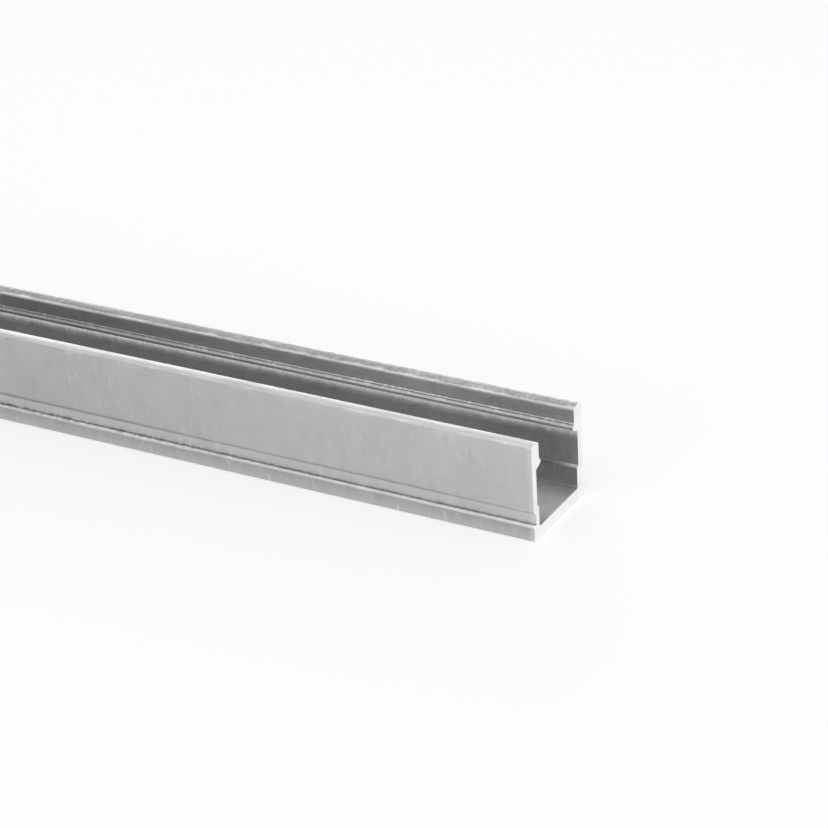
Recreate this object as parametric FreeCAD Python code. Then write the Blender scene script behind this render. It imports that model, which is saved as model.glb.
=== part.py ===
"""Surface channel for a flexible light strip, extruded in aluminium.

One piece of stock: a square U section, open at the top, sawn square at both
ends. The part lies on its flat base. X runs along the stock, Y across it and
Z up; the origin is the middle of the underside. All sizes are millimetres.
"""

import math
import os

import FreeCAD
import Part

# Overall stock
length = 500.0
width = 16.0
height = 16.0

# What goes inside
strip_width = 12.0
strip_clearance = 0.3          # each side of the strip, between the ledges

# Base and the lower walls
base_thickness = 1.9
pocket_depth = 3.6             # floor up to the ledges
wall_thickness = 1.2           # wall above the ledges

# Clip groove along each outer side, just above the foot
foot_height = 2.65
foot_chamfer = 0.3             # taken off the foot's outer edge
groove_depth = 0.65
slot_height = 0.3              # undercut at the root, for a clip's lip
slot_depth = 0.3               # beyond the groove
groove_opening = 1.7           # foot's top up to the groove's roof
groove_roof = 0.75             # slope from the root out to the wall

# Rim, the step a cover's edge rests on and the snap bead that holds it
rim_thickness = 2.2
rim_land = 1.0                 # level outer part of the rim
lead_in_drop = 0.2             # fall of the rim's inner part
rim_height = 2.7               # top of the rim down to the step
step_projection = 0.15
step_rise = 0.15               # sloping top of the step
step_face = 0.2                # upright part between step and bead
bead_projection = 0.35         # beyond the step
bead_rise = 0.25               # sloping top of the bead
bead_nose = 0.45               # upright tip of the bead
bead_under = 0.65              # sloping underside, back to the wall

# Roundings left by the die
base_radius = 0.3
rim_outer_radius = 0.5
rim_inner_radius = 0.3
land_radius = 1.5
step_radius = 0.08
bead_radius = 0.12
slot_radius = 0.08
floor_radius = 0.3
die_radius = 0.12              # every other corner


def half_section():
    """Corners of the +Y half, from the base up the outside and back down
    the inside to the floor, each as (y, z, rounding)."""
    outside = width / 2
    neck = outside - groove_depth
    slot = neck - slot_depth
    wall = outside - wall_thickness
    rim = outside - rim_thickness
    step = rim - step_projection
    nose = step - bead_projection
    ledge = strip_width / 2 + strip_clearance

    groove_top = foot_height + groove_opening
    step_start = height - rim_height
    step_top = step_start - step_rise
    bead_start = step_top - step_face
    nose_top = bead_start - bead_rise
    nose_bottom = nose_top - bead_nose
    ledge_top = base_thickness + pocket_depth

    return [
        (outside, 0.0, base_radius),
        (outside, foot_height - foot_chamfer, die_radius),
        (outside - foot_chamfer, foot_height, slot_radius),
        (slot, foot_height, slot_radius),
        (slot, foot_height + slot_height, slot_radius),
        (neck, foot_height + slot_height, slot_radius),
        (neck, groove_top, die_radius),
        (outside, groove_top + groove_roof, die_radius),
        (outside, height, rim_outer_radius),
        (outside - rim_land, height, land_radius),
        (rim, height - lead_in_drop, rim_inner_radius),
        (rim, step_start, step_radius),
        (step, step_top, step_radius),
        (step, bead_start, step_radius),
        (nose, nose_top, bead_radius),
        (nose, nose_bottom, bead_radius),
        (wall, nose_bottom - bead_under, die_radius),
        (wall, ledge_top, die_radius),
        (ledge, ledge_top, die_radius),
        (ledge, base_thickness, floor_radius),
    ]


def rounded_outline(corners):
    """A closed wire in the YZ plane through the corners, each one rounded
    by an arc that is tangent to both of its sides."""
    stretches = []
    for i, (y, z, radius) in enumerate(corners):
        corner = FreeCAD.Vector(0, y, z)
        before = FreeCAD.Vector(0, *corners[i - 1][:2]) - corner
        after = FreeCAD.Vector(0, *corners[(i + 1) % len(corners)][:2]) - corner
        before.normalize()
        after.normalize()
        half_angle = before.getAngle(after) / 2
        setback = radius / math.tan(half_angle)
        middle = (before + after).normalize()
        reach = radius / math.sin(half_angle) - radius
        stretches.append((corner + before * setback,
                          corner + middle * reach,
                          corner + after * setback))

    edges = []
    for i, (start, middle, end) in enumerate(stretches):
        previous_end = stretches[i - 1][2]
        edges.append(Part.LineSegment(previous_end, start).toShape())
        edges.append(Part.Arc(start, middle, end).toShape())
    return Part.Wire(edges)


def channel():
    """The section, mirrored about the middle plane and run along X."""
    half = half_section()
    other_half = [(-y, z, radius) for y, z, radius in reversed(half)]
    face = Part.Face(rounded_outline(half + other_half))
    stock = face.extrude(FreeCAD.Vector(length, 0, 0))
    stock.translate(FreeCAD.Vector(-length / 2, 0, 0))
    return stock


os.makedirs("parts", exist_ok=True)
channel().exportStep("parts/channel.step")
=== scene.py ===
"""Aluminium channel for a light strip, dressed and lit on a pale floor."""

import math

import bpy
from mathutils import Matrix, Vector


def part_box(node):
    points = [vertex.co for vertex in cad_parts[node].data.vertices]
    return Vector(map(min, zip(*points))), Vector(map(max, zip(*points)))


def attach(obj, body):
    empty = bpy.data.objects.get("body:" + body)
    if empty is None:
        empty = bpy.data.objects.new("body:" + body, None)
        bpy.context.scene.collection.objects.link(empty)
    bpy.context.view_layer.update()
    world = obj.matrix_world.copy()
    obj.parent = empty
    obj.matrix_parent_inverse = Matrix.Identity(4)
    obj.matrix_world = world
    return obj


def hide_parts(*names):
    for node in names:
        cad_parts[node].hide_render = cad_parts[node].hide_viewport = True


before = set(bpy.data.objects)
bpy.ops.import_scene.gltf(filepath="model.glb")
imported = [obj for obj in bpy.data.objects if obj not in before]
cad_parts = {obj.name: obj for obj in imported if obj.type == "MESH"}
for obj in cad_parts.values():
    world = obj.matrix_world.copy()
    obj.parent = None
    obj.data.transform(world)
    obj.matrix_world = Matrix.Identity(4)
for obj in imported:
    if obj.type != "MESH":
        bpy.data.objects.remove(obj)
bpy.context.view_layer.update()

LOW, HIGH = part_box("channel")
MM = 0.001
SAME_PLACE = 0.001 * MM           # corners this near each other are one
SAME_PLANE = math.radians(0.5)    # faces this level with each other are one
SHARP_FROM = math.radians(30)     # edges this steep are shaded as edges
SAWN_NORMAL = 0.5                 # faces that look this far along X are sawn
ROUNDING_STEPS = 4

bl_info = {
    "name": "Light strip channel",
    "version": (1, 0, 0),
    "blender": (4, 5, 0),
    "location": "3D View > Sidebar > Channel",
    "description": "A sawn length of satin aluminium channel on a pale floor",
    "category": "Object",
}


def size(name, description, default):
    """A length in metres that a user may change."""
    return bpy.props.FloatProperty(
        name=name, description=description, default=default,
        min=0.0, precision=5, subtype="DISTANCE", unit="LENGTH")


def share(name, description, default):
    """A plain number between 0 and 1."""
    return bpy.props.FloatProperty(
        name=name, description=description, default=default,
        min=0.0, max=1.0, subtype="FACTOR")


def colour(name, description, default):
    """A linear colour."""
    return bpy.props.FloatVectorProperty(
        name=name, description=description, default=default,
        size=3, min=0.0, max=1.0, subtype="COLOR")


class ChannelSizes(bpy.types.PropertyGroup):
    """The section, from the base up the outside and down the inside."""
    ledge_half: size("Half pocket", "Middle of the floor to a ledge", 6.3 * MM)
    base: size("Base", "Thickness of the floor", 1.9 * MM)
    pocket: size("Pocket", "Floor up to the ledges", 3.6 * MM)
    wall: size("Wall", "Thickness of the wall above the ledges", 1.2 * MM)
    foot: size("Foot", "Height of the foot", 2.65 * MM)
    foot_chamfer: size("Foot chamfer", "Edge taken off the foot's top",
                       0.3 * MM)
    groove: size("Groove", "Depth of the clip groove", 0.65 * MM)
    slot: size("Slot", "Depth of the undercut at the groove's foot", 0.3 * MM)
    slot_high: size("Slot height", "Height of the undercut", 0.3 * MM)
    groove_high: size("Groove height", "Foot's top up to the groove's roof",
                      1.7 * MM)
    groove_roof: size("Groove roof", "Height of the slope over the groove",
                      0.75 * MM)
    rim: size("Rim", "Thickness of the wall's rim", 2.2 * MM)
    land: size("Land", "Width of the rim's level outer part", 1.0 * MM)
    lead_in: size("Lead-in", "Fall of the rim's inner part", 0.2 * MM)
    rim_height: size("Rim height", "Top of the rim down to the step", 2.7 * MM)
    step: size("Step", "How far the cover's step stands out", 0.15 * MM)
    step_rise: size("Step rise", "Height of the step's sloping top", 0.15 * MM)
    step_face: size("Step face", "Height from the step to the bead", 0.2 * MM)
    bead: size("Bead", "How far the bead stands out from the step", 0.35 * MM)
    bead_rise: size("Bead rise", "Height of the bead's sloping top", 0.25 * MM)
    bead_nose: size("Bead nose", "Height of the bead's tip", 0.45 * MM)
    bead_under: size("Bead under", "Height of the bead's underside", 0.65 * MM)
    base_round: size("Base rounding", "Rounding of the lower edges", 0.3 * MM)
    rim_round: size("Rim rounding", "Rounding of the rim's outer edge",
                    0.5 * MM)
    lip_round: size("Lip rounding", "Rounding of the rim's inner edge",
                    0.3 * MM)
    land_round: size("Land rounding", "Rounding between land and lead-in",
                     1.5 * MM)
    step_round: size("Step rounding", "Rounding of the step's corners",
                     0.08 * MM)
    bead_round: size("Bead rounding", "Rounding of the bead's tip", 0.12 * MM)
    slot_round: size("Slot rounding", "Rounding of the slot's corners",
                     0.08 * MM)
    floor_round: size("Floor rounding", "Rounding in the floor's corners",
                      0.3 * MM)
    die_round: size("Die rounding", "Rounding of every other corner",
                    0.12 * MM)
    arris: size("Arris", "Edge broken off round the sawn ends", 0.05 * MM)


class ChannelFinish(bpy.types.PropertyGroup):
    """The colours and surfaces of the metal."""
    satin: colour("Satin skin", "Colour of the extruded faces",
                  (0.435, 0.435, 0.435))
    satin_rough: share("Satin roughness", "Roughness of the extruded faces",
                       0.5)
    sawn: colour("Sawn metal", "Colour of the bare sawn ends",
                 (0.93, 0.93, 0.93))
    sawn_rough: share("Sawn roughness", "Roughness of the sawn ends", 0.42)
    tooth_step: size("Saw mark", "Distance between two marks of the saw",
                     0.35 * MM)


class StageSettings(bpy.types.PropertyGroup):
    """Camera, floor and light."""
    azimuth: bpy.props.FloatProperty(
        name="Azimuth", description="Camera turned round the part",
        default=math.radians(31.14), subtype="ANGLE", unit="ROTATION")
    elevation: bpy.props.FloatProperty(
        name="Elevation", description="Camera above the horizon",
        default=math.radians(27.28), subtype="ANGLE", unit="ROTATION")
    roll: bpy.props.FloatProperty(
        name="Roll", description="Camera turned about its own line of sight",
        default=math.radians(-3.54), subtype="ANGLE", unit="ROTATION")
    distance: size("Distance", "Camera to the point it looks at", 406.0 * MM)
    aim: bpy.props.FloatVectorProperty(
        name="Aim",
        description="Point looked at, from the near sawn end's foot",
        default=(-21.87 * MM, -4.12 * MM, 15.08 * MM), size=3, precision=5,
        subtype="TRANSLATION", unit="LENGTH")
    lens: bpy.props.FloatProperty(
        name="Lens", description="Focal length in millimetres",
        default=117.5, min=1.0)
    floor: colour("Floor", "Colour of the floor", (0.7, 0.7, 0.7))


def edit(piece):
    """Goes into edit mode on the piece alone, with all of it selected."""
    bpy.ops.object.select_all(action="DESELECT")
    piece.select_set(True)
    bpy.context.view_layer.objects.active = piece
    bpy.ops.object.mode_set(mode="EDIT")
    select_whole_mesh()


def select_whole_mesh():
    bpy.ops.mesh.select_all(action="SELECT")


def leave_edit():
    bpy.ops.object.mode_set(mode="OBJECT")


def section_steps(s):
    """One half of the section as steps (across, up, rounding at the end),
    from the middle of the underside round to the middle of the floor."""
    half = HIGH.y
    height = HIGH.z - LOW.z
    ledge_to_wall = half - s.wall - s.ledge_half
    bead_to_ledge = (height - s.rim_height - s.step_rise - s.step_face
                     - s.bead_rise - s.bead_nose - s.bead_under
                     - s.base - s.pocket)
    over_groove = height - s.foot - s.groove_high - s.groove_roof
    return [
        (half, 0, s.base_round),
        (0, s.foot - s.foot_chamfer, s.die_round),
        (-s.foot_chamfer, s.foot_chamfer, s.slot_round),
        (s.foot_chamfer - s.groove - s.slot, 0, s.slot_round),
        (0, s.slot_high, s.slot_round),
        (s.slot, 0, s.slot_round),
        (0, s.groove_high - s.slot_high, s.die_round),
        (s.groove, s.groove_roof, s.die_round),
        (0, over_groove, s.rim_round),
        (-s.land, 0, s.land_round),
        (s.land - s.rim, -s.lead_in, s.lip_round),
        (0, s.lead_in - s.rim_height, s.step_round),
        (-s.step, -s.step_rise, s.step_round),
        (0, -s.step_face, s.step_round),
        (-s.bead, -s.bead_rise, s.bead_round),
        (0, -s.bead_nose, s.bead_round),
        (s.bead + s.step + s.rim - s.wall, -s.bead_under, s.die_round),
        (0, -bead_to_ledge, s.die_round),
        (-ledge_to_wall, 0, s.die_round),
        (0, -s.pocket, s.floor_round),
        (-s.ledge_half, 0, 0),
    ]


def corner_roundings(steps):
    """Where each corner lies, and how far its rounding runs along its sides."""
    points = [Vector((0, 0))]
    for across, up, _ in steps:
        points.append(points[-1] + Vector((across, up)))
    setbacks = []
    for i, (_, _, radius) in enumerate(steps[:-1], start=1):
        turn = (points[i - 1] - points[i]).angle(points[i + 1] - points[i])
        setbacks.append((points[i], radius / math.tan(turn / 2)))
    return setbacks


class CHANNEL_OT_extrusion(bpy.types.Operator):
    """Model the sawn length of channel and give it its two finishes"""
    bl_idname = "channel.extrusion"
    bl_label = "Channel extrusion"

    def execute(self, context):
        sizes = context.scene.channel_sizes
        steps = section_steps(sizes)
        piece = self.trace_half(steps)
        self.mirror(piece)
        self.break_edges(piece, corner_roundings(steps), sizes.arris)
        self.finish(piece, context.scene.channel_finish)
        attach(piece, "root")
        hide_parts("channel")
        return {"FINISHED"}

    def trace_half(self, steps):
        """Draws half the section corner by corner, then pulls it along X."""
        bpy.ops.mesh.primitive_plane_add(size=MM, location=(LOW.x, 0, LOW.z))
        piece = context_piece("sawn_channel")
        edit(piece)
        bpy.ops.mesh.merge(type="CENTER")
        select_whole_mesh()
        for across, up, _ in steps:
            bpy.ops.mesh.extrude_region_move(
                TRANSFORM_OT_translate={"value": (0, across, up)})
        select_whole_mesh()
        bpy.ops.mesh.extrude_region_move(
            TRANSFORM_OT_translate={"value": (HIGH.x - LOW.x, 0, 0)})
        leave_edit()
        bpy.ops.object.transform_apply(location=True, rotation=True, scale=True)
        return piece

    def mirror(self, piece):
        """Adds the other half and closes both ends."""
        halves = piece.modifiers.new("Other half", "MIRROR")
        halves.use_axis = (False, True, False)
        halves.merge_threshold = SAME_PLACE
        bpy.ops.object.modifier_apply(modifier=halves.name)
        edit(piece)
        bpy.ops.mesh.fill_holes(sides=0)
        select_whole_mesh()
        bpy.ops.mesh.dissolve_limited(angle_limit=SAME_PLANE)
        select_whole_mesh()
        bpy.ops.mesh.normals_make_consistent(inside=False)
        leave_edit()

    def break_edges(self, piece, roundings, arris):
        """Rounds every long edge by its own amount, and the sawn edges by
        the arris."""
        widest = max(setback for _, setback in roundings)
        mesh = piece.data
        weights = mesh.attributes.new("bevel_weight_edge", "FLOAT", "EDGE")
        for edge in mesh.edges:
            a, b = (mesh.vertices[v].co for v in edge.vertices)
            if abs(a.x - b.x) < MM:
                weights.data[edge.index].value = arris / widest
                continue
            here = Vector((abs(a.y), a.z - LOW.z))
            _, setback = min(roundings, key=lambda r: (r[0] - here).length)
            weights.data[edge.index].value = setback / widest
        bevel = piece.modifiers.new("Roundings", "BEVEL")
        bevel.width = widest
        bevel.segments = ROUNDING_STEPS
        bevel.limit_method = "WEIGHT"
        bevel.use_clamp_overlap = False
        bevel.miter_inner = "MITER_SHARP"
        bpy.ops.object.modifier_apply(modifier=bevel.name)
        bpy.ops.object.shade_smooth_by_angle(angle=SHARP_FROM)

    def finish(self, piece, look):
        """Satin skin all over, bare metal on the two sawn faces."""
        piece.data.materials.append(SatinSkin(look).material)
        piece.data.materials.append(SawnMetal(look).material)
        for face in piece.data.polygons:
            face.material_index = 1 if abs(face.normal.x) > SAWN_NORMAL else 0


def context_piece(name):
    """The object just added, under its own name."""
    piece = bpy.context.active_object
    piece.name = name
    piece.data.name = name
    return piece


class Nodes:
    """A material, with short ways to lay out its nodes."""

    def __init__(self, name):
        self.material = bpy.data.materials.new(name)
        self.material.use_nodes = True
        self.tree = self.material.node_tree
        self.shader = self.tree.nodes["Principled BSDF"]
        self.place = self.tree.nodes.new("ShaderNodeTexCoord").outputs["Object"]

    def add(self, kind, **values):
        node = self.tree.nodes.new(kind)
        for key, value in values.items():
            setattr(node, key, value)
        return node

    def link(self, out, into):
        self.tree.links.new(out, into)

    def mapped(self, scale, location=(0, 0, 0)):
        """The place on the piece, stretched and then moved."""
        node = self.add("ShaderNodeMapping")
        node.inputs["Scale"].default_value = scale
        node.inputs["Location"].default_value = location
        self.link(self.place, node.inputs["Vector"])
        return node.outputs["Vector"]

    def place_along(self):
        """The place on the piece along, across and up the stock."""
        node = self.add("ShaderNodeSeparateXYZ")
        self.link(self.place, node.inputs["Vector"])
        return node.outputs

    def noise(self, scale, detail, roughness=0.5):
        """Noise whose size along each axis is one over its scale."""
        node = self.add("ShaderNodeTexNoise")
        node.inputs["Scale"].default_value = 1.0
        node.inputs["Detail"].default_value = detail
        node.inputs["Roughness"].default_value = roughness
        self.link(self.mapped(scale), node.inputs["Vector"])
        return node.outputs["Fac"]

    def ramp(self, value, low, high, to_low=0.0, to_high=1.0):
        """Goes evenly from one number to the other, and no further."""
        node = self.add("ShaderNodeMapRange", clamp=True)
        node.inputs["From Min"].default_value = low
        node.inputs["From Max"].default_value = high
        node.inputs["To Min"].default_value = to_low
        node.inputs["To Max"].default_value = to_high
        self.link(value, node.inputs["Value"])
        return node.outputs["Result"]

    def past(self, place, limits):
        """0 before the first limit, in millimetres, and 1 past the second."""
        return self.ramp(place, limits[0] * MM, limits[1] * MM)

    def around(self, noise, middle, reach):
        """Spreads the noise about a middle number, a reach to each side."""
        return self.ramp(noise, *USUAL_NOISE, middle - reach, middle + reach)

    def only(self, where, shade):
        """The shade where the first number is 1, and no change elsewhere."""
        return self.blend(where, 1.0, shade)

    def blend(self, amount, first, second):
        """Goes from the first number to the second."""
        node = self.add("ShaderNodeMix", data_type="FLOAT")
        self.fill(node.inputs[0], amount)
        self.fill(node.inputs[2], first)
        self.fill(node.inputs[3], second)
        return node.outputs[0]

    def math(self, operation, first, second=0.0):
        """One sum with two numbers or outputs."""
        node = self.add("ShaderNodeMath", operation=operation)
        self.fill(node.inputs[0], first)
        self.fill(node.inputs[1], second)
        return node.outputs[0]

    def product(self, *factors):
        total = factors[0]
        for factor in factors[1:]:
            total = self.math("MULTIPLY", total, factor)
        return total

    def fill(self, socket, value):
        """Links an output to the socket, or writes a plain number on it."""
        if isinstance(value, (int, float)):
            socket.default_value = value
        else:
            self.link(value, socket)

    def shades(self, place, stops):
        """Follows a list of (millimetres, shade) along one direction."""
        first, last = stops[0][0], stops[-1][0]
        lightest = max(shade for _, shade in stops)
        node = self.add("ShaderNodeValToRGB")
        elements = node.color_ramp.elements
        for millimetres, _ in stops[1:-1]:
            elements.new((millimetres - first) / (last - first))
        for element, (millimetres, shade) in zip(elements, stops):
            element.position = (millimetres - first) / (last - first)
            element.color = (*(shade / lightest,) * 3, 1.0)
        self.link(self.ramp(place, first * MM, last * MM), node.inputs["Fac"])
        return self.product(node.outputs["Color"], lightest)

    def bump(self, height, relief, under=None):
        """Relief of a strength and depth, over what lies under it."""
        node = self.add("ShaderNodeBump")
        strength, depth = relief
        node.inputs["Strength"].default_value = strength
        node.inputs["Distance"].default_value = depth
        self.link(height, node.inputs["Height"])
        if under is not None:
            self.link(under, node.inputs["Normal"])
        return node.outputs["Normal"]

    def metal(self, colour, shade, roughness, relief):
        """Metal of one colour, lighter or darker from place to place."""
        node = self.add("ShaderNodeVectorMath", operation="SCALE")
        node.inputs["Vector"].default_value = colour
        self.link(shade, node.inputs["Scale"])
        self.link(node.outputs["Vector"], self.shader.inputs["Base Color"])
        self.link(roughness, self.shader.inputs["Roughness"])
        self.link(relief, self.shader.inputs["Normal"])
        self.shader.inputs["Metallic"].default_value = 1.0


# Painted light and shade in the satin skin's colour, as (millimetres, shade):
# up the outer and the inner side, across the rims, and from the middle of the
# floor outwards. They were set until the picture's tones matched the photo's,
# so they and those below hold some of its light as well as the skin: painted
# highlights on the foot's chamfer, the rims' lips and the beads, painted shade
# on the foot, in the groove, at the ledges and in the floor's corners, a
# painted pale band under each bead, and the far rim painted darker than the
# near one.
OUTER_SIDE = ((0.0, 1.08), (0.6, 1.04), (2.1, 0.83), (2.3, 0.83), (2.38, 1.1),
              (2.8, 1.3), (3.1, 1.14), (4.3, 1.11), (4.5, 1.09), (4.8, 1.04),
              (5.0, 0.97), (5.3, 0.94), (5.6, 1.0), (15.4, 1.0), (15.6, 0.94),
              (15.8, 0.97))
INNER_SIDE = ((2.1, 1.3), (3.0, 1.0), (5.3, 1.0), (5.4, 0.65), (5.6, 1.1),
              (9.7, 1.1), (10.6, 1.3), (11.3, 2.0), (12.0, 2.0), (12.1, 1.2),
              (12.65, 1.2), (12.75, 0.82), (13.3, 0.85), (13.5, 1.25),
              (14.2, 1.05), (15.2, 1.0), (15.3, 1.0), (15.42, 1.72),
              (15.7, 1.72))
RIM_TOPS = ((-8.0, 1.1), (-7.8, 1.16), (-7.2, 1.14), (-6.8, 1.13), (-5.9, 1.17),
            (-5.7, 1.35), (5.7, 1.1), (5.85, 0.85), (6.05, 0.77), (6.4, 0.78),
            (6.7, 0.88), (7.2, 1.04), (7.5, 1.12), (8.0, 1.22))
POCKET_FLOOR = ((0.0, 1.65), (2.2, 1.55), (4.0, 1.22), (5.0, 1.05), (5.9, 0.9),
                (6.0, 0.68), (6.08, 0.42), (6.2, 0.42), (6.27, 0.9), (6.3, 1.3))

# Painted light and shade by the distance from the middle of the stock towards
# either end: on the inner walls below and above the beads' noses, on the
# groove's roofs and on the beads with the bands under them, painted highlights
# at the ledges' ends, the outer sides painted lighter towards the ends and by
# the cut, the rims painted lighter towards the ends and the far rim painted
# darker towards the middle.
LOW_INSIDE = ((160.0, 1.08), (200.0, 1.03), (226.0, 1.12), (242.0, 0.88),
              (250.0, 0.68))
HIGH_INSIDE = ((160.0, 0.65), (200.0, 0.93), (225.0, 1.15), (244.0, 0.95),
               (250.0, 0.88))
ROOF_PAINTED_SHADE_ALONG = ((178.0, 0.90), (194.0, 1.07), (226.0, 1.02), (238.0, 1.14),
              (250.0, 1.18))
BEAD_PAINTED_LIGHT_ALONG = ((185.0, 1.05), (200.0, 1.0), (228.0, 0.87), (242.0, 0.98),
              (250.0, 1.04))
PAINTED_LEDGE_END_HIGHLIGHTS = ((245.5, 0.9), (247.0, 1.2), (248.0, 1.7), (249.0, 2.2),
              (250.0, 2.4))
OUTER_PAINTED_LIGHT_ALONG = ((160.0, 1.0), (250.0, 1.16))
PAINTED_LIGHT_BY_THE_CUT = ((248.8, 1.0), (250.0, 1.18))
RIM_PAINTED_LIGHT_ALONG = ((225.0, 1.0), (250.0, 1.08))
FAR_RIM_PAINTED_SHADE_ALONG = ((165.0, 0.90), (228.0, 1.04))

# How much of the painted light and shade along the stock, of the painted
# glints and of the rubbed spots shows at a height, as (millimetres, share).
OUTER_LIGHTENS = ((2.3, 0.4), (5.3, 1.0))
SLOT_EDGES = ((2.4, 0.0), (2.6, 1.0), (2.95, 1.0), (3.2, 0.0))
GROOVE_ROOFS = ((4.3, 0.0), (4.45, 1.0), (5.15, 1.0), (5.35, 0.0))
LEDGES = ((5.2, 0.0), (5.4, 1.0), (5.6, 1.0), (5.75, 0.0))
BEADS = ((10.4, 0.0), (11.2, 1.0), (12.1, 1.0), (12.2, 0.0), (12.6, 0.0),
         (12.75, 1.0), (13.05, 1.0), (13.12, 0.0))
BEAD_EDGES = ((12.6, 0.0), (12.9, 1.0), (13.3, 1.0), (13.6, 0.0))
UNDER_RIMS = ((14.7, 0.0), (15.4, 1.0), (15.9, 1.0))

# Where each of these starts and where it is complete, in millimetres: out from
# the middle plane, across the stock, up it, and from its middle to an end.
OUTER_HALF = (6.95, 7.0)
INNER_HALF = (7.0, 6.95)
FAR_SIDE = (0.0, 1.0)
FOOT = (2.2, 2.0)
WALLS = (2.1, 2.4)
BAND = (9.5, 11.6)
UPPER_WALLS = (11.9, 12.1)
LIPS = (15.25, 15.35)
RIMS = (15.65, 15.85)
NEAR_AN_END = (175.0, 205.0)

# Noise as (waves per metre along, across and up), detail and roughness.
WAVER = ((260, 260, 260), 3.0)
BANDS = ((240, 110, 110), 2.0)
BLOTCHES = ((520, 520, 520), 2.0)
SMEARS = ((1300, 500, 300), 1.0)
HANDLED = ((70, 70, 70), 1.0)
GRAINS = ((2200, 2200, 2200), 2.0)
STREAKS = ((150, 2600, 2600), 2.0)
MOTTLE = ((1300, 1000, 1000), 2.0)
RUBS = ((170, 900, 900), 3.0)
SPECKS = ((1500, 1500, 1500), 0.0)
DIE_LINES = ((6, 3500, 3500), 3.0, 0.6)
ETCHING = ((9000, 9000, 9000), 1.0)
DRIPS = ((900, 300, 60), 2.0)
GRIT = ((5000, 5000, 5000), 2.0)
STAINS = ((300, 300, 300), 2.0)
USUAL_NOISE = (0.3, 0.7)     # between these lies most of any noise

# Shades that noise makes, as a middle number and the reach to each side.
SOFT = (1.0, 0.032)
GRAINY = (1.0, 0.07)
STREAKY = (1.0, 0.1)
MOTTLED = (0.99, 0.17)
STAINED = (0.99, 0.04)

# How far noise moves a height, in metres, or a roughness to each side.
RIM_WAVER = 0.1 * MM
BAND_HANG = 0.16 * MM
SATIN_CHANGE = 0.03
SAWN_CHANGE = 0.06

# Marks as noise from and to, and the number that they turn it into.
HANDLED_PARTS = (0.42, 0.58, 0.0, 1.0)
LIGHT_SMEARS = (0.61, 0.73, 1.0, 1.12)
DARK_SMEARS = (0.28, 0.39, 0.92, 1.0)
FOOT_SMEARS = (0.59, 0.67, 1.0, 1.13)
RUBBED_SPOTS = (0.5, 0.58, 1.0, 1.10)
# The glints are painted highlights in flecks along the edges of the beads, and
# painted highlights and painted shade along the slots.
BEAD_PAINTED_GLINTS = (0.54, 0.64, 1.0, 1.4)
SLOT_PAINTED_GLINTS_AND_SHADE = (0.38, 0.62, 0.78, 1.20)
END_SLOT_PAINTED_GLINTS_AND_SHADE = (0.38, 0.62, 0.90, 1.10)
PALE_SPECKS = (0.80, 0.84, 1.0, 1.25)
SAW_MARKS = (0.0, 1.0, 0.94, 1.03)

# Relief as strength and depth in metres.
LINE_RELIEF = (0.35, 0.004 * MM)
ETCHED_RELIEF = (0.25, 0.004 * MM)
HOLLOW_RELIEF = (1.0, -0.6 * MM)
SAWN_RELIEF = (0.5, 0.02 * MM)
GRIT_RELIEF = (0.3, 0.01 * MM)

# The saw's arcs: the blade's centre in metres, how the arcs waver, and how
# many rings a wave texture has in each metre at scale 1.
BLADE_CENTRE = (0, 0.09, 0.06)
ARCS_WAVER = (("Distortion", 1.2), ("Detail", 2.0), ("Detail Scale", 2.0))
RINGS_AT_SCALE_1 = 20 / (2 * math.pi)


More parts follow.
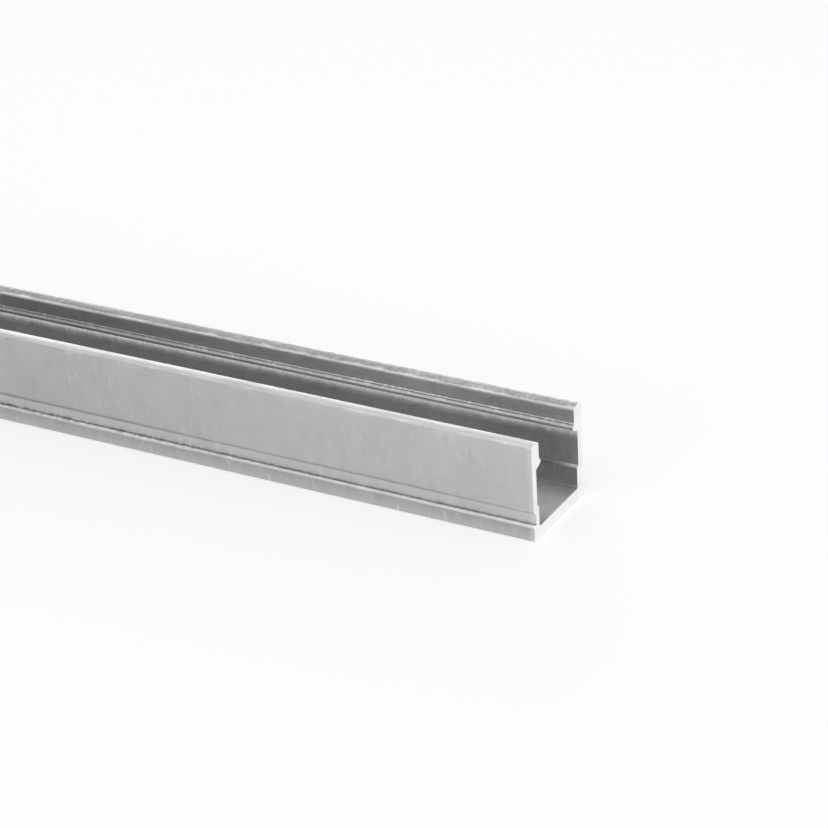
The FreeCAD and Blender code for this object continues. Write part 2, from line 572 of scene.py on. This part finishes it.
class SatinSkin(Nodes):
    """Etched skin with the die's long lines, soft smears and spots rubbed off
    under the rims, with painted light and shade over the section and along the
    stock: painted highlights on rims, edges and ledges, painted shade in the
    groove and corners, and a pale band under each bead that is painted light
    over a bumped hollow."""

    def __init__(self, look):
        super().__init__("satin_extruded_skin")
        along, self.across, self.up = self.place_along()
        self.from_middle = self.math("ABSOLUTE", along)
        self.side = self.math("ABSOLUTE", self.across)
        # The height wavered by noise, so that the edges of the painted rim
        # highlights and of the outer side's painted shades run unevenly.
        waver = self.around(self.noise(*WAVER), 0.0, RIM_WAVER)
        self.wavering_up = self.math("ADD", self.up, waver)
        self.outer = self.past(self.side, OUTER_HALF)
        self.rim = self.past(self.wavering_up, RIMS)
        self.blotches = self.noise(*BLOTCHES)
        self.mottle = self.noise(*MOTTLE)

        sides = self.blend(self.outer, self.inside(), self.outside())
        section = self.blend(self.rim, sides, self.rims())
        shade = self.product(section, self.smears(), self.grain(), self.wear_and_painted_glints())
        rough = self.around(self.blotches, look.satin_rough, SATIN_CHANGE)
        self.metal(look.satin, shade, rough, self.relief())

    def at(self, heights, along):
        """Shades along the stock, only at the heights given."""
        return self.only(self.shades(self.up, heights),
                         self.shades(self.from_middle, along))

    def inside(self):
        """The pocket's floor, and the walls up to the rims' lips, with their
        painted light and shade.
        """
        along = self.blend(self.past(self.up, UPPER_WALLS),
                           self.shades(self.from_middle, LOW_INSIDE),
                           self.shades(self.from_middle, HIGH_INSIDE))
        walls = self.product(self.shades(self.up, INNER_SIDE),
                             self.blend(self.past(self.up, LIPS), along, 1.0),
                             self.at(BEADS, BEAD_PAINTED_LIGHT_ALONG),
                             self.at(LEDGES, PAINTED_LEDGE_END_HIGHLIGHTS))
        return self.blend(self.past(self.up, WALLS),
                          self.shades(self.side, POCKET_FLOOR), walls)

    def outside(self):
        """The outer sides with painted light and shade on foot, groove and
        roof, and painted light towards the ends and by the cut.
        """
        return self.product(self.shades(self.wavering_up, OUTER_SIDE),
                            self.at(OUTER_LIGHTENS, OUTER_PAINTED_LIGHT_ALONG),
                            self.at(GROOVE_ROOFS, ROOF_PAINTED_SHADE_ALONG),
                            self.shades(self.from_middle, PAINTED_LIGHT_BY_THE_CUT))

    def rims(self):
        """The rims' painted highlights and shade from one outer edge across to
        the other, painted lighter towards the ends.
        """
        return self.product(self.shades(self.across, RIM_TOPS),
                            self.shades(self.from_middle, RIM_PAINTED_LIGHT_ALONG))

    def smears(self):
        """Broad bands, and upright smears where the stock was handled and on
        its feet."""
        smears = self.noise(*SMEARS)
        foot = self.past(self.up, FOOT)
        handled = self.math("MAXIMUM", foot,
                            self.ramp(self.noise(*HANDLED), *HANDLED_PARTS))
        return self.product(
            self.around(self.noise(*BANDS), *SOFT),
            self.around(self.blotches, *SOFT),
            self.only(handled, self.ramp(smears, *LIGHT_SMEARS)),
            self.only(handled, self.ramp(smears, *DARK_SMEARS)),
            self.only(self.product(self.outer, foot),
                      self.ramp(smears, *FOOT_SMEARS)))

    def grain(self):
        """Fine grain inside, streaks on the rims and a few pale specks."""
        return self.product(
            self.blend(self.outer, self.around(self.noise(*GRAINS), *GRAINY),
                       1.0),
            self.only(self.rim, self.around(self.noise(*STREAKS), *STREAKY)),
            self.ramp(self.noise(*SPECKS), *PALE_SPECKS))

    def wear_and_painted_glints(self):
        """Spots rubbed off under the rims, the mottled rim on the +Y side with
        painted shade that lightens towards the ends, and painted glints, with
        painted shade at the slots, in flecks along the edges of beads and
        slots."""
        far_rim = self.product(self.rim, self.past(self.across, FAR_SIDE))
        slots = self.blend(self.past(self.from_middle, NEAR_AN_END),
                           self.ramp(self.mottle, *SLOT_PAINTED_GLINTS_AND_SHADE),
                           self.ramp(self.mottle, *END_SLOT_PAINTED_GLINTS_AND_SHADE))
        return self.product(
            self.only(self.shades(self.up, UNDER_RIMS),
                      self.ramp(self.noise(*RUBS), *RUBBED_SPOTS)),
            self.only(far_rim, self.product(
                self.around(self.mottle, *MOTTLED),
                self.shades(self.from_middle, FAR_RIM_PAINTED_SHADE_ALONG))),
            self.blend(self.outer,
                       self.only(self.shades(self.up, BEAD_EDGES),
                                 self.ramp(self.mottle, *BEAD_PAINTED_GLINTS)),
                       self.only(self.shades(self.up, SLOT_EDGES), slots)))

    def relief(self):
        """The die's lines, the etching, and a slight hollow under each bead,
        which the mesh doesn't have and whose lower edge hangs unevenly."""
        hang = self.around(self.noise(*DRIPS), 0.0, BAND_HANG)
        band = self.past(self.math("ADD", self.up, hang), BAND)
        hollow = self.product(band, band, self.past(self.side, INNER_HALF))
        lines = self.bump(self.noise(*DIE_LINES), LINE_RELIEF)
        etched = self.bump(self.noise(*ETCHING), ETCHED_RELIEF, under=lines)
        return self.bump(hollow, HOLLOW_RELIEF, under=etched)


class SawnMetal(Nodes):
    """Bare metal with the shallow arcs of a large round blade."""

    def __init__(self, look):
        super().__init__("sawn_end_metal")
        arcs = self.arcs(look.tooth_step)
        grit = self.noise(*GRIT)
        shade = self.product(self.ramp(arcs, *SAW_MARKS),
                             self.around(self.noise(*STAINS), *STAINED))
        rough = self.around(grit, look.sawn_rough, SAWN_CHANGE)
        cut = self.bump(arcs, SAWN_RELIEF)
        self.metal(look.sawn, shade, rough,
                   self.bump(grit, GRIT_RELIEF, under=cut))

    def arcs(self, tooth_step):
        """Rings round the blade's centre, one for each mark of the saw."""
        node = self.add("ShaderNodeTexWave", wave_type="RINGS",
                        rings_direction="X")
        scale = 1.0 / (tooth_step * RINGS_AT_SCALE_1)
        for name, value in (("Scale", scale), *ARCS_WAVER):
            node.inputs[name].default_value = value
        self.link(self.mapped((1, 1, 1), BLADE_CENTRE), node.inputs["Vector"])
        return node.outputs["Fac"]


# The floor's width, roughness and glow to the eye, the room's light on the
# part, and how near and how far the camera sees, with lengths in metres.
FLOOR_WIDTH = 30
FLOOR_ROUGHNESS = 0.9
FLOOR_GLOW = 0.37
ROOM_LIGHT = 0.6
VIEW_LIMITS = (10 * MM, 100.0)
WHITE = (1, 1, 1, 1)

# Soft boxes: name, place from the near end, width, height, power in watts.
LAMPS = (("overhead", (0.2, -0.6, 2.4), 1.8, 1.8, 13.6),
         ("back_low", (-2.55, 3.0, 0.75), 3.0, 1.2, 30.0),
         ("front", (-0.3, -0.9, 0.32), 0.5, 0.4, 0.8),
         ("end_side", (2.25, -0.5, 0.87), 1.25, 1.25, 8.5))


def seen_directly(tree):
    """1 where the eye, a reflection or a clear material looks at it, else 0."""
    path = tree.nodes.new("ShaderNodeLightPath")
    total = path.outputs["Is Camera Ray"]
    for name in ("Is Glossy Ray", "Is Transmission Ray"):
        either = tree.nodes.new("ShaderNodeMath")
        either.operation = "MAXIMUM"
        tree.links.new(total, either.inputs[0])
        tree.links.new(path.outputs[name], either.inputs[1])
        total = either.outputs[0]
    return total


class CHANNEL_OT_stage(bpy.types.Operator):
    """Lay the floor, set the lamps and place the camera"""
    bl_idname = "channel.stage"
    bl_label = "Floor, light and camera"

    def execute(self, context):
        settings = context.scene.channel_stage
        self.lay_floor(settings)
        self.light_world(context)
        for lamp in LAMPS:
            self.soft_box(*lamp)
        self.place_camera(context, settings)
        context.scene.view_settings.view_transform = "Standard"
        return {"FINISHED"}

    def lay_floor(self, settings):
        bpy.ops.mesh.primitive_plane_add(size=FLOOR_WIDTH,
                                         location=(0, 0, LOW.z))
        floor = context_piece("floor")
        floor.data.materials.append(self.pale_floor(settings))

    def pale_floor(self, settings):
        """A matt floor that also reads white to the eye and in the metal."""
        material = bpy.data.materials.new("pale_floor")
        material.use_nodes = True
        tree = material.node_tree
        shader = tree.nodes["Principled BSDF"]
        shader.inputs["Base Color"].default_value = (*settings.floor, 1.0)
        shader.inputs["Roughness"].default_value = FLOOR_ROUGHNESS
        shader.inputs["Specular IOR Level"].default_value = 0.0
        shader.inputs["Emission Color"].default_value = WHITE
        glow = tree.nodes.new("ShaderNodeMath")
        glow.operation = "MULTIPLY"
        glow.inputs[1].default_value = FLOOR_GLOW
        tree.links.new(seen_directly(tree), glow.inputs[0])
        tree.links.new(glow.outputs[0], shader.inputs["Emission Strength"])
        return material

    def light_world(self, context):
        """White to the eye and in the metal, and dimmer as a light."""
        world = bpy.data.worlds.new("white_room")
        world.use_nodes = True
        context.scene.world = world
        tree = world.node_tree
        background = tree.nodes["Background"]
        background.inputs["Color"].default_value = WHITE
        level = tree.nodes.new("ShaderNodeMapRange")
        level.inputs["To Min"].default_value = ROOM_LIGHT
        level.inputs["To Max"].default_value = 1.0
        tree.links.new(seen_directly(tree), level.inputs["Value"])
        tree.links.new(level.outputs["Result"], background.inputs["Strength"])

    def soft_box(self, name, offset, width, height, watts):
        """A lamp that faces the near end and that the camera doesn't see."""
        end = Vector((HIGH.x, 0, HIGH.z / 2))
        offset = Vector(offset)
        bpy.ops.object.light_add(type="AREA", location=end + offset)
        lamp = bpy.context.active_object
        lamp.name = name
        lamp.data.shape = "RECTANGLE"
        lamp.data.size = width
        lamp.data.size_y = height
        lamp.data.energy = watts
        lamp.rotation_euler = (-offset).to_track_quat("-Z", "Y").to_euler()
        lamp.visible_camera = False

    def place_camera(self, context, settings):
        """Turns round the part, looks down at the aim and rolls a little."""
        bpy.ops.object.camera_add()
        camera = context.active_object
        camera.name = "photo_camera"
        a, e = settings.azimuth, settings.elevation
        back = Vector((math.sin(a) * math.cos(e), -math.cos(a) * math.cos(e),
                       math.sin(e)))
        aim = Vector((HIGH.x, 0, LOW.z)) + Vector(settings.aim)
        turn = (-back).to_track_quat("-Z", "Y").to_matrix()
        turn = turn @ Matrix.Rotation(settings.roll, 3, "Z")
        place = Matrix.Translation(aim + back * settings.distance)
        camera.matrix_world = place @ turn.to_4x4()
        camera.data.lens = settings.lens
        camera.data.clip_start, camera.data.clip_end = VIEW_LIMITS
        context.scene.camera = camera


class CHANNEL_PT_panel(bpy.types.Panel):
    """The channel's sizes, finish and stage"""
    bl_idname = "CHANNEL_PT_panel"
    bl_label = "Light strip channel"
    bl_space_type = "VIEW_3D"
    bl_region_type = "UI"
    bl_category = "Channel"

    def draw(self, context):
        scene = context.scene
        for group in (scene.channel_sizes, scene.channel_finish,
                      scene.channel_stage):
            box = self.layout.box()
            for name in type(group).__annotations__:
                box.prop(group, name)
        for operator in (CHANNEL_OT_extrusion, CHANNEL_OT_stage):
            self.layout.operator(operator.bl_idname)


CLASSES = (ChannelSizes, ChannelFinish, StageSettings, CHANNEL_OT_extrusion,
           CHANNEL_OT_stage, CHANNEL_PT_panel)


def register():
    for cls in CLASSES:
        bpy.utils.register_class(cls)
    scene = bpy.types.Scene
    scene.channel_sizes = bpy.props.PointerProperty(type=ChannelSizes)
    scene.channel_finish = bpy.props.PointerProperty(type=ChannelFinish)
    scene.channel_stage = bpy.props.PointerProperty(type=StageSettings)


def unregister():
    del bpy.types.Scene.channel_stage
    del bpy.types.Scene.channel_finish
    del bpy.types.Scene.channel_sizes
    for cls in reversed(CLASSES):
        bpy.utils.unregister_class(cls)


def main():
    register()
    bpy.ops.channel.extrusion()
    bpy.ops.channel.stage()


if __name__ == "__main__":
    main()
